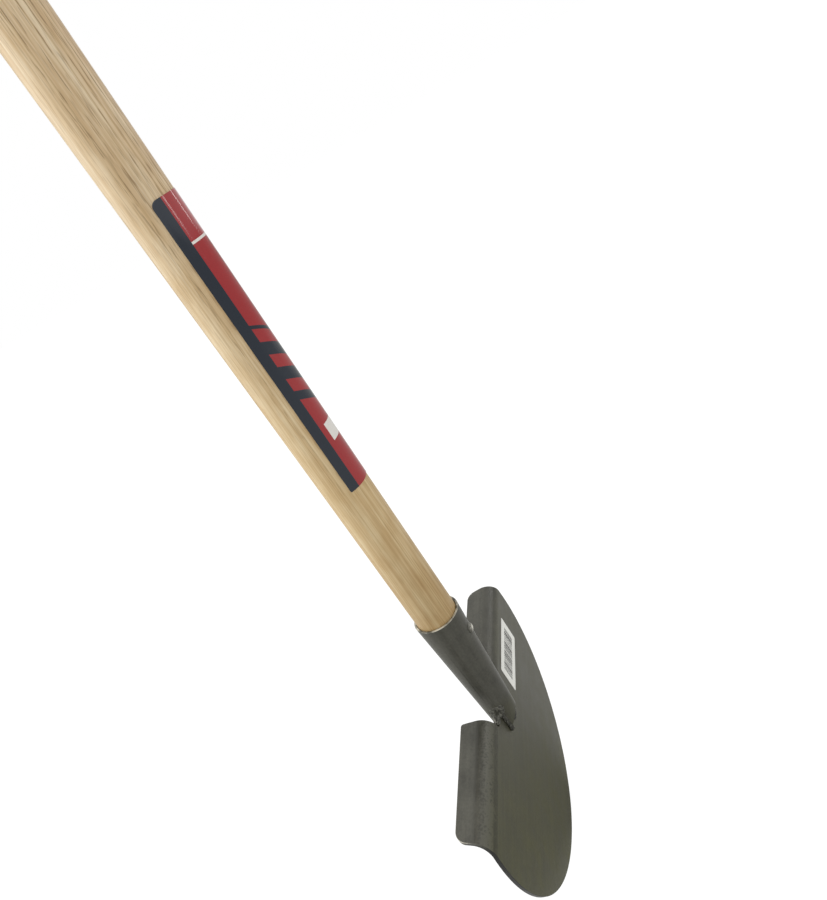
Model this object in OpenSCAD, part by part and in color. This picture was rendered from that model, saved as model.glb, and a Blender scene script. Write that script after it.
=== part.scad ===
// Half moon lawn edger: a round-edged steel blade with two folded treads, a tapered steel socket,
// an ash shaft and an ash cross grip. Millimetres, +Z up the shaft, the sticker side faces -Y.
// The origin is the lowest point of the cutting edge, in the middle of the blade's thickness.

/* [Blade] */
// Radius of the half-moon cutting edge
blade_radius = 100; // [85:1:125]
// Depth of the half moon's centre below the top of the treads
blade_centre_drop = 24; // [16:0.5:32]
// Thickness of the blade's sheet steel
sheet = 2.5; // [1.5:0.1:4]
// Radius inside the bend from the blade to the treads
bend_inner = 7.75; // [4:0.25:10]
// Depth of a tread from the blade's front face to the rear edge
tread_depth = 20; // [17:0.5:36]
// Distance of a tread's outer rear corner inside the widest place of the blade
tread_inset = 7.4; // [6:0.2:14]
// Angle at which the outer end of a tread runs out to the round edge
tread_splay = 16; // [12:1:24]
// Radius of the rear corner at the outer end of a tread
tread_corner = 7.5; // [2:0.5:10]
// Radius of the rear corner beside the notch
tread_inner_corner = 1.8; // [0.5:0.1:4]
// Width of the notch between the two treads
notch_width = 39.5; // [34:0.5:52]
// Depth of the notch below the top of the treads
notch_depth = 12; // [8:0.5:16]
// Radius of the two lower corners of the notch
notch_corner = 3.2; // [1:0.1:5]
// Width of the bevel ground along the rear of the cutting edge, at its lowest point
bevel_width = 5; // [2:0.5:10]
// Thickness left at the cutting edge
edge_thickness = 0.9; // [0.5:0.1:1.4]
// Angle round the edge from its lowest point to where the bevel runs out
bevel_span = 55; // [40:1:70]

/* [Socket] */
// Height of the socket's mouth above the treads
socket_height = 70; // [50:1:100]
// Outer diameter of the socket's mouth
socket_mouth_d = 28.5; // [26:0.1:34]
// Outer diameter of the socket level with the treads
socket_root_d = 20.6; // [17:0.2:24]
// Wall of the socket
socket_wall = 1.4; // [1:0.1:1.8]
// Length of the two cheeks below the treads, where they meet the blade
cheek_length = 29; // [24:0.5:38]
// Length of the two cheeks below the treads, along their ridges
ridge_length = 18; // [14:0.5:23]
// Rise of the straight sides of the slit between the cheeks above the notch's floor
slit_rise = 0.6; // [0.2:0.1:2]
// Thickness of the weld that closes the end of a cheek
nose_weld_thickness = 4; // [2:0.5:7]
// Radius of the round weld bead beside the socket, on the notch's floor
side_weld_radius = 3.4; // [2.4:0.1:4.5]
// Rise of that weld bead above the notch's floor
side_weld_rise = 6.2; // [4.5:0.1:7]

/* [Rivet] */
// Depth of the rivet below the socket's mouth
rivet_drop = 17.5; // [12:0.5:24]
// Diameter of the rivet's shank
rivet_shank_d = 4.5; // [3:0.1:6]
// Diameter of the rivet's heads
rivet_head_d = 6.6; // [6.4:0.1:10]
// Height of the rivet's domed front head
rivet_head_rise = 1.7; // [1:0.1:3]
// Height of the rivet's hammered rear head
rivet_tail_rise = 1; // [0.6:0.1:2]

/* [Shaft] */
// Diameter of the shaft at the socket's mouth
shaft_mouth_d = 25.2; // [23:0.1:30]
// Diameter of the shaft where it is thickest
shaft_swell_d = 27; // [24:0.1:34]
// Diameter of the shaft under the cross grip
shaft_neck_d = 21.4; // [18:0.1:24]
// Height of the thickest place above the treads
shaft_swell_height = 600; // [450:5:700]
// Height of the shaft's lower end above the treads
shaft_foot_height = 6; // [3:0.5:20]
// Diameter of the tenon in the cross grip
tenon_d = 14; // [10:0.5:16]
// Rise of the tenon above the axis of the cross grip
tenon_rise = 8; // [5:0.5:10]

/* [Cross grip] */
// Height of the cross grip's axis above the treads
grip_height = 915; // [800:5:1000]
// Length of the cross grip
grip_length = 195; // [150:1:260]
// Diameter of the cross grip
grip_d = 30.5; // [28:0.5:36]
// Radius round the ends of the cross grip
grip_end_round = 4; // [1:0.5:8]
// Diameter of the peg that locks the tenon
peg_d = 8; // [6:0.5:9]
// Depth of the peg's ends below the surface of the cross grip
peg_recess = 0.6; // [0.2:0.1:1.5]

/* [Label and sticker] */
// Height of the label's lower end above the treads
label_height = 170; // [110:1:400]
// Length of the label
label_length = 161; // [80:1:200]
// Direction of the label's first edge round the shaft
label_start_angle = -151; // [-180:1:-100]
// Angle of the label round the shaft
label_wrap_angle = 150; // [90:1:300]
// Thickness of the label's film
label_film = 0.2; // [0.1:0.05:0.4]
// Distance of the sticker's outer edge inside the widest place of the blade
sticker_inset = 25; // [18:0.5:31]
// Depth of the sticker's upper edge below the treads
sticker_drop = 14; // [11.6:0.2:30]
// Width of the sticker
sticker_width = 47.5; // [30:0.5:52]
// Height of the sticker
sticker_height = 22; // [14:0.5:30]
// Radius of the sticker's corners
sticker_corner = 1.2; // [0.4:0.1:3]
// Thickness of the sticker's paper
sticker_paper = 0.2; // [0.1:0.05:0.4]

/* [Fits] */
// Gap between pieces that seat in one another
fit_gap = 0.2; // [0.05:0.05:0.3]
// Gap between the blade and the cheeks of the socket
slit_gap = 0.1; // [0.05:0.05:0.3]
// Thickness of the glue under the label
label_glue = 0.1; // [0.02:0.01:0.2]

/* [Hidden] */
$fn = 96;

// Cuts run this far past the faces that they open
overrun = 1;
// Stations along each half of the shaft's swelling outline
shaft_stations = 14;
// Rises of the outline of a rivet's dome
dome_steps = 6;

steel_colour = [0.29, 0.29, 0.26];
weld_colour = [0.34, 0.34, 0.31];
rivet_colour = [0.72, 0.72, 0.70];
ash_colour = [0.84, 0.72, 0.54];
label_colour = [0.68, 0.12, 0.15];
paper_colour = [0.95, 0.95, 0.93];

half_sheet = sheet / 2;
tread_z = blade_radius + blade_centre_drop;
centre_z = blade_radius;
bend_outer = bend_inner + sheet;
bend_z = tread_z - bend_outer;
front_y = bend_outer - half_sheet;
rear_y = tread_depth - half_sheet;
tread_reach = blade_radius - tread_inset;
// Length of the sheet along the middle of its bend
bend_run = PI / 2 * (bend_inner + half_sheet);
// Half width of a tread where the bend ends
fold_reach = tread_reach + (rear_y - front_y) * tan(tread_splay);
// Half width of the blade where the bend starts
bend_reach = fold_reach + bend_run * tan(tread_splay);
notch_floor_z = tread_z - notch_depth;
notch_half = notch_width / 2;
// Rise of the bevel's centre above the half moon's, which lets the bevel run out
bevel_shift = bevel_width / (1 - cos(bevel_span));

mouth_z = tread_z + socket_height;
cheek_end_z = tread_z - cheek_length;
ridge_end_z = tread_z - ridge_length;
slit_half = half_sheet + slit_gap;
slit_top_z = notch_floor_z + slit_rise + slit_half;
socket_slope = (socket_mouth_d - socket_root_d) / 2 / socket_height;

rivet_z = mouth_z - rivet_drop;
grip_z = tread_z + grip_height;
grip_r = grip_d / 2;
swell_z = tread_z + shaft_swell_height;
foot_z = tread_z + shaft_foot_height;
label_z = tread_z + label_height;
sticker_z = tread_z - sticker_drop - sticker_height;
sticker_x = blade_radius - sticker_inset - sticker_width;

// Outer radius of the socket at a height
function socket_r(z) = socket_root_d / 2 + (z - tread_z) * socket_slope;

// Blends from one value to another, flat at both ends
function ease(a, b, t) = a + (b - a) * (1 - cos(180 * t)) / 2;

// Blends from one value to another, flat at the start only
function ease_away(a, b, t) = a + (b - a) * (1 - cos(90 * t));

// Radius of the shaft at a height above the socket's mouth
function shaft_r(z) =
    z < swell_z
        ? ease(shaft_mouth_d, shaft_swell_d, (z - mouth_z) / (swell_z - mouth_z)) / 2
        : ease_away(shaft_swell_d, shaft_neck_d, (z - swell_z) / (grip_z - swell_z)) / 2;

// Heights spread evenly from one end of a stretch to the other
function heights(low, high, steps) = [for (i = [0 : steps]) low + (high - low) * i / steps];

// Stands a plan in X and Z up, from one Y to another
module upright(y_from, y_to) {
    translate([0, y_to, 0])
        rotate([90, 0, 0])
            linear_extrude(y_to - y_from)
                children();
}

// Lays a profile in Y and Z along X, over a length centred on the middle
module along_x(length) {
    rotate([90, 0, 90])
        translate([0, 0, -length / 2])
            linear_extrude(length)
                children();
}

// A rectangle with four round corners, from its lower left corner
module round_plate(width, height, corner) {
    translate([corner, 0])
        square([width - 2 * corner, height]);
    translate([0, corner])
        square([width, height - 2 * corner]);
    for (x = [corner, width - corner], y = [corner, height - corner])
        translate([x, y])
            circle(corner);
}

// Section of the folded sheet: blade, bend and tread
module sheet_section() {
    translate([-half_sheet, -overrun])
        square([sheet, bend_z + overrun]);
    translate([front_y, tread_z - sheet])
        square([rear_y - front_y, sheet]);
    translate([front_y, bend_z])
        intersection() {
            difference() {
                circle(bend_outer);
                circle(bend_inner);
            }
            translate([-bend_outer, 0])
                square(bend_outer);
        }
}

// The blade seen from above: two treads with round rear corners, widening to the front, on the flat blade
module tread_plan() {
    translate([-blade_radius, -half_sheet])
        square([2 * blade_radius, sheet]);
    for (side = [0, 1])
        mirror([side, 0])
            difference() {
                polygon([
                    [0, 0],
                    [bend_reach, 0],
                    [bend_reach, half_sheet],
                    [fold_reach, front_y],
                    [tread_reach, rear_y],
                    [0, rear_y]
                ]);
                corner_waste(tread_reach, tread_corner, tread_splay, 0);
                corner_waste(notch_half, tread_inner_corner, 0, 1);
            }
}

// What is cut away to round a rear corner at a given X, with or without turning it to the other side
module corner_waste(x, corner, splay, turned) {
    tangent = corner * tan((90 - splay) / 2);
    middle = [-tangent, -corner];
    translate([x, rear_y])
        mirror([turned, 0])
            difference() {
                polygon([
                    middle,
                    [-tangent, overrun],
                    [tangent, overrun],
                    middle + (corner + overrun) * [cos(splay), sin(splay)]
                ]);
                translate(middle)
                    circle(corner);
            }
}

// The blade seen from the front: a round edge, drawn in at the top where the treads' ends begin
module blade_face() {
    foot_reach = bend_reach + bend_z * tan(tread_splay);
    head_reach = bend_reach - bend_outer * tan(tread_splay);
    intersection() {
        translate([0, centre_z])
            circle(blade_radius, $fn = 180);
        polygon([[-foot_reach, 0], [foot_reach, 0], [head_reach, tread_z], [-head_reach, tread_z]]);
    }
}

// The notch between the treads, with round lower corners
module notch_face() {
    translate([-notch_half, notch_floor_z])
        round_plate(notch_width, notch_depth + 2 * notch_corner + overrun, notch_corner);
}

// Waste of the bevel ground along the rear of the edge, deepest at its lowest point
module bevel_waste() {
    depth = sheet - edge_thickness;
    reach = blade_radius + bevel_shift;
    translate([0, half_sheet, centre_z + bevel_shift])
        rotate([90, 0, 0])
            rotate([0, 0, 180])
                rotate_extrude(angle = 180, $fn = 180)
                    polygon([
                        [reach - bevel_width, 0],
                        [reach, depth],
                        [reach + overrun, depth],
                        [reach + overrun, -overrun],
                        [reach - bevel_width, -overrun]
                    ]);
}

module blade() {
    color(steel_colour)
        difference() {
            intersection() {
                along_x(2 * blade_radius)
                    sheet_section();
                upright(-half_sheet - overrun, rear_y + overrun)
                    blade_face();
                linear_extrude(tread_z + overrun)
                    tread_plan();
            }
            upright(-half_sheet - overrun, rear_y + overrun)
                notch_face();
            bevel_waste();
        }
}

// The socket's taper as a solid cone between two heights, shrunk by an inset
module socket_cone(low, high, inset) {
    translate([0, 0, low])
        cylinder(h = high - low, r1 = socket_r(low) - inset, r2 = socket_r(high) - inset);
}

// Waste below the slanting ends of the two cheeks, moved up or down by a shift
module cheek_waste(shift) {
    reach = socket_mouth_d;
    ridge_y = socket_r(ridge_end_z);
    fall = (cheek_end_z - ridge_end_z) / (ridge_y - half_sheet);
    along_x(2 * reach)
        for (side = [0, 1])
            mirror([side, 0])
                polygon([
                    [0, cheek_end_z + shift],
                    [half_sheet, cheek_end_z + shift],
                    [half_sheet + reach, cheek_end_z + shift - fall * reach],
                    [half_sheet + reach, cheek_end_z - 2 * cheek_length],
                    [0, cheek_end_z - 2 * cheek_length]
                ]);
}

// Waste of the slit that takes the blade, with a round upper end
module slit_waste() {
    along_x(2 * socket_mouth_d) {
        translate([-slit_half, cheek_end_z - overrun])
            square([2 * slit_half, slit_top_z - slit_half - cheek_end_z + overrun]);
        translate([0, slit_top_z - slit_half])
            circle(slit_half);
    }
}

module socket() {
    color(steel_colour)
        difference() {
            socket_cone(cheek_end_z, mouth_z, 0);
            socket_cone(cheek_end_z - overrun, mouth_z + overrun, socket_wall);
            cheek_waste(0);
            slit_waste();
            rivet_hole();
        }
}

// The weld inside the end of one cheek, between the cheek and the blade
module nose_weld() {
    difference() {
        intersection() {
            socket_cone(cheek_end_z, tread_z, socket_wall);
            cheek_waste(nose_weld_thickness);
        }
        cheek_waste(0);
        translate([-socket_mouth_d, -half_sheet, 0])
            cube([2 * socket_mouth_d, socket_mouth_d, tread_z]);
    }
}

module front_nose_weld() {
    color(weld_colour)
        nose_weld();
}

module rear_nose_weld() {
    color(weld_colour)
        mirror([0, 1, 0])
            nose_weld();
}

// Two beads on the floor of the notch, one on either side of the socket
module side_welds() {
    color(weld_colour)
        for (side = [0, 1])
            mirror([side, 0, 0])
                difference() {
                    translate([socket_r(notch_floor_z), 0, notch_floor_z + side_weld_rise - side_weld_radius])
                        sphere(side_weld_radius);
                    socket_cone(cheek_end_z, mouth_z, 0);
                    translate([0, -side_weld_radius, notch_floor_z - side_weld_radius])
                        cube([notch_half, 2 * side_weld_radius, side_weld_radius]);
                }
}

// The hole through the socket and the shaft
module rivet_hole() {
    translate([0, 0, rivet_z])
        rotate([90, 0, 0])
            cylinder(h = 2 * socket_mouth_d, d = rivet_shank_d + 2 * fit_gap, center = true);
}

// A domed rivet head that stands on the socket's front, before it is fitted to the taper
module rivet_head(rise) {
    seat = sqrt(pow(socket_r(rivet_z), 2) - pow(rivet_head_d / 2, 2)) - rivet_head_d / 2 * socket_slope;
    top = socket_r(rivet_z) + rise;
    dome = [for (i = [0 : dome_steps])
        [rivet_head_d / 2 * cos(90 * i / dome_steps), top - rise + rise * sin(90 * i / dome_steps)]];
    rotate([90, 0, 0])
        rotate_extrude()
            polygon(concat([[0, seat], [rivet_head_d / 2, seat]], dome));
}

module socket_rivet() {
    reach = socket_r(rivet_z);
    color(rivet_colour)
        difference() {
            translate([0, 0, rivet_z]) {
                rotate([90, 0, 0])
                    cylinder(h = 2 * reach, d = rivet_shank_d, center = true);
                rivet_head(rivet_head_rise);
                mirror([0, 1, 0])
                    rivet_head(rivet_tail_rise);
            }
            difference() {
                socket_cone(tread_z, mouth_z, 0);
                translate([0, 0, rivet_z])
                    rotate([90, 0, 0])
                        cylinder(h = 2 * socket_mouth_d, d = rivet_shank_d, center = true);
            }
        }
}

// Outline of the shaft, from its tapered foot in the socket to the cross grip's axis
module shaft_outline() {
    inset = socket_wall + fit_gap;
    polygon(concat(
        [[0, foot_z], [socket_r(foot_z) - inset, foot_z], [socket_r(mouth_z) - inset, mouth_z]],
        [for (z = heights(mouth_z, swell_z, shaft_stations)) [shaft_r(z), z]],
        [for (z = heights(swell_z, grip_z, shaft_stations)) if (z > swell_z) [shaft_r(z), z]],
        [[0, grip_z]]
    ));
}

// The hole through the cross grip and the tenon
module peg_hole() {
    translate([0, 0, grip_z])
        rotate([90, 0, 0])
            cylinder(h = 2 * grip_d, d = peg_d + 2 * fit_gap, center = true);
}

module shaft() {
    color(ash_colour)
        difference() {
            union() {
                difference() {
                    rotate_extrude()
                        shaft_outline();
                    translate([0, 0, grip_z])
                        rotate([0, 90, 0])
                            cylinder(h = grip_length, r = grip_r + fit_gap, center = true);
                }
                translate([0, 0, grip_z - grip_d])
                    cylinder(h = grip_d + tenon_rise, d = tenon_d);
            }
            rivet_hole();
            peg_hole();
        }
}

// Half outline of the cross grip: a straight bar with round ends
module grip_outline() {
    translate([0, -grip_length / 2])
        square([grip_r - grip_end_round, grip_length]);
    translate([0, grip_end_round - grip_length / 2])
        square([grip_r, grip_length - 2 * grip_end_round]);
    for (way = [-1, 1])
        translate([grip_r - grip_end_round, way * (grip_length / 2 - grip_end_round)])
            circle(grip_end_round);
}

module cross_grip() {
    color(ash_colour)
        difference() {
            translate([0, 0, grip_z])
                rotate([0, 90, 0])
                    rotate_extrude()
                        intersection() {
                            grip_outline();
                            translate([0, -grip_length])
                                square([grip_d, 2 * grip_length]);
                        }
            translate([0, 0, grip_z - grip_d])
                cylinder(h = grip_d + tenon_rise + fit_gap, d = tenon_d + 2 * fit_gap);
            peg_hole();
        }
}

module grip_peg() {
    color(ash_colour)
        intersection() {
            translate([0, 0, grip_z])
                rotate([90, 0, 0])
                    cylinder(h = grip_d, d = peg_d, center = true);
            translate([0, 0, grip_z])
                rotate([0, 90, 0])
                    cylinder(h = grip_length, r = grip_r - peg_recess, center = true);
        }
}

// The printed film, wrapped part of the way round the shaft
module shaft_label() {
    rows = heights(label_z, label_z + label_length, shaft_stations);
    color(label_colour)
        rotate([0, 0, label_start_angle])
            rotate_extrude(angle = label_wrap_angle)
                polygon(concat(
                    [for (z = rows) [shaft_r(z) + label_glue + label_film, z]],
                    [for (i = [shaft_stations : -1 : 0]) [shaft_r(rows[i]) + label_glue, rows[i]]]
                ));
}

module blade_sticker() {
    color(paper_colour)
        upright(-half_sheet - sticker_paper, -half_sheet)
            translate([sticker_x, sticker_z])
                round_plate(sticker_width, sticker_height, sticker_corner);
}

blade();
socket();
front_nose_weld();
rear_nose_weld();
side_welds();
socket_rivet();
shaft();
cross_grip();
grip_peg();
shaft_label();
blade_sticker();
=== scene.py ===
"""Looks of a half moon lawn edger: lacquered steel blade and socket on a pale ash shaft with a cross grip.

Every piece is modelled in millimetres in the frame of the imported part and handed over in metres.
The frame has +Z up the shaft, X across the blade, and the sticker side of the blade faces -Y.
"""

import logging
import math
from dataclasses import dataclass
from enum import Enum
from typing import Any, Callable

import bmesh
import bpy
from bmesh.types import BMEdge, BMesh, BMVert
from bpy.types import Material, Node, NodeSocket, NodeTree, Object
from mathutils import Matrix, Vector, noise


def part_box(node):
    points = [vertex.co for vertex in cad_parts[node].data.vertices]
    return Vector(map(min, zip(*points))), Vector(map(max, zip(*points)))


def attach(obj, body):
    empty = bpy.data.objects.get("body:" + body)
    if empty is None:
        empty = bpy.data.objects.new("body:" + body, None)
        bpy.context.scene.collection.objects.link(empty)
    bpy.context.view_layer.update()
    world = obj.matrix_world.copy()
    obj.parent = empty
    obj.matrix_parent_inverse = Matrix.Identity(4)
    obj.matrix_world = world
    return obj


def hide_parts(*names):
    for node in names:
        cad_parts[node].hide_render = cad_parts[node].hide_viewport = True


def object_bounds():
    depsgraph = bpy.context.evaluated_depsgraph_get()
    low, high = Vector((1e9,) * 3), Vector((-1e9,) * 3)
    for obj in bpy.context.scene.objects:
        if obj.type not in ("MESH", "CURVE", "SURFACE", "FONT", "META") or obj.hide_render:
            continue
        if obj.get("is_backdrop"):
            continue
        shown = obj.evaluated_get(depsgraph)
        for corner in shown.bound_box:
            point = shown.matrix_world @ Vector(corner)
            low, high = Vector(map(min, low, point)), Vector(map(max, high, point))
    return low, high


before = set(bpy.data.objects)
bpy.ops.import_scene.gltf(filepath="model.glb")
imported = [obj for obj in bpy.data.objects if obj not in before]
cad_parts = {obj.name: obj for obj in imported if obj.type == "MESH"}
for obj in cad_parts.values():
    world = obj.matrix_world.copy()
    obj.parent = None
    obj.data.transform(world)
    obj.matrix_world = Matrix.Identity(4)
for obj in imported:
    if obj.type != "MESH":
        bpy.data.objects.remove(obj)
CAD_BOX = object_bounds()

LOG = logging.getLogger("half_moon_edger")
MM = 0.001
BODY = "root"
ORIGIN = Vector((0.0, 0.0, 0.0))
ACROSS = Vector((1.0, 0.0, 0.0))
BACK = Vector((0.0, 1.0, 0.0))
UP = Vector((0.0, 0.0, 1.0))
WHITE = "#FFFFFF"
# Places this near to each other count as one, and vertices this near are merged, in millimetres.
NEAR, MERGED = 0.01, 1e-4
# A face looks along an axis when its normal has this share along it.
FACING = 0.9
# Swellings of a lump of weld: their share of its radius and how many go to a radius.
SWELLS = ((0.25, 1.6), (0.12, 4.0))
# Sockets of a Mix node that mixes colours: its two inputs and its output.
MIX_A, MIX_B, MIX_OUT = 6, 7, 2
# A stretch far below every piece, for a change along a piece that some pieces don't have.
NOWHERE = (-2000.0, -1000.0)
Colour = tuple[float, float, float, float]
Inputs = dict[int | str, Any]
Span = tuple[float, float]
Triple = tuple[float, float, float]


class Grain(Enum):
    """Direction in which the fibres of a wooden piece run."""

    UP_THE_SHAFT = "Z"
    ALONG_THE_GRIP = "X"


class Side(Enum):
    """The two sides of the blade, across it."""

    LEFT = -1
    RIGHT = 1


class Face(Enum):
    """The two faces of the blade. The front carries the sticker."""

    FRONT = -1
    REAR = 1


def linear(hex_colour: str) -> Colour:
    """Turns an sRGB hex value into a linear colour.

    Args:
        hex_colour: six hex digits after a hash sign.

    Returns:
        Linear red, green and blue with an alpha of one.
    """
    parts = [int(hex_colour[i:i + 2], 16) / 255 for i in (1, 3, 5)]
    red, green, blue = (p / 12.92 if p <= 0.04045 else ((p + 0.055) / 1.055) ** 2.4 for p in parts)
    return red, green, blue, 1.0


def grey(value: float) -> Colour:
    """A neutral colour of that level, for ramps that carry a number."""
    return value, value, value, 1.0


def box_mm(node: str) -> tuple[Vector, Vector]:
    """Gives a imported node's lowest and highest corners in millimetres.

    Args:
        node: name of the node.

    Returns:
        The two corners.
    """
    low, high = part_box(node)
    return low / MM, high / MM


def plug(tree: NodeTree, node: Node, inputs: Inputs) -> None:
    """Sets or links inputs of a node.

    Args:
        tree: node tree that holds the node.
        node: the node.
        inputs: constants or output sockets, by the name or number of the input.
    """
    for key, value in inputs.items():
        if isinstance(value, NodeSocket):
            tree.links.new(value, node.inputs[key])
        else:
            node.inputs[key].default_value = value


def add_node(tree: NodeTree, kind: str, inputs: Inputs | None = None, out: int | str = 0,
             stops: list[tuple[float, Colour]] | None = None, **settings: Any) -> NodeSocket:
    """Adds a node with its settings, constants and links.

    A Map Range takes its value at input 0, the range it comes from at 1 and 2 and the range it goes to at 3
    and 4. Both ranges are zero to one where they aren't given.

    Args:
        tree: node tree that gets the node.
        kind: type name of the node, without its prefix.
        inputs: constants or output sockets, by the name or number of the input.
        out: name or number of the output that is wanted.
        stops: places and colours of a colour ramp.
        settings: attributes of the node.

    Returns:
        That output socket of the new node.
    """
    node = tree.nodes.new("ShaderNode" + kind)
    for name, value in settings.items():
        setattr(node, name, value)
    plug(tree, node, inputs or {})
    if stops:
        elements = node.color_ramp.elements
        while len(elements) < len(stops):
            elements.new(1.0)
        for element, (place, colour) in zip(elements, stops):
            element.position = place
            element.color = colour
    return node.outputs[out]


class Finish:
    """A surface finish that makes one material for Blender."""

    name: str

    def material(self) -> Material:
        """Makes the material, or gives the one already made.

        Returns:
            The material named after the finish.
        """
        made = bpy.data.materials.get(self.name)
        if not made:
            made = bpy.data.materials.new(self.name)
            made.use_nodes = True
            tree = made.node_tree
            plug(tree, tree.nodes["Principled BSDF"], self.paint(tree))
        return made

    def paint(self, tree: NodeTree) -> Inputs:
        """Adds the nodes of the finish.

        Args:
            tree: node tree of the material.

        Returns:
            Inputs of the Principled shader.
        """
        raise NotImplementedError

    def millimetres(self, tree: NodeTree) -> NodeSocket:
        """Gives the place on the object in millimetres.

        Args:
            tree: node tree of the material.

        Returns:
            The output socket of the place.
        """
        place = add_node(tree, "TexCoord", out="Object")
        return add_node(tree, "VectorMath", {0: place, "Scale": 1 / MM}, operation="SCALE")

    def drawn_out(self, tree: NodeTree, place: NodeSocket, lengths: Triple, detail: float,
                  scale: float = 1.0) -> NodeSocket:
        """Makes noise with its own length along each axis.

        Args:
            tree: node tree of the material.
            place: place in millimetres.
            lengths: lengths along the axes in millimetres.
            detail: how finely the noise is broken up.
            scale: patches of noise to each length.

        Returns:
            The output socket of the noise.
        """
        shares = tuple(1 / length for length in lengths)
        shrunk = add_node(tree, "VectorMath", {0: place, 1: shares}, operation="MULTIPLY")
        return add_node(tree, "TexNoise", {"Vector": shrunk, "Scale": scale, "Detail": detail})

    def between(self, tree: NodeTree, value: NodeSocket, low: float, high: float) -> NodeSocket:
        """Gives one where a value lies between two limits.

        Args:
            tree: node tree of the material.
            value: output socket of the value.
            low: lower limit.
            high: upper limit.

        Returns:
            The output socket of the mask.
        """
        return add_node(tree, "Math", {0: value, 1: (low + high) / 2, 2: (high - low) / 2},
                        operation="COMPARE")


@dataclass(frozen=True)
class Streak:
    """Streaks along wood fibres: their size in millimetres and the noise at which one begins and is full."""

    width: float
    length: float
    begins: float
    full: float


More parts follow.
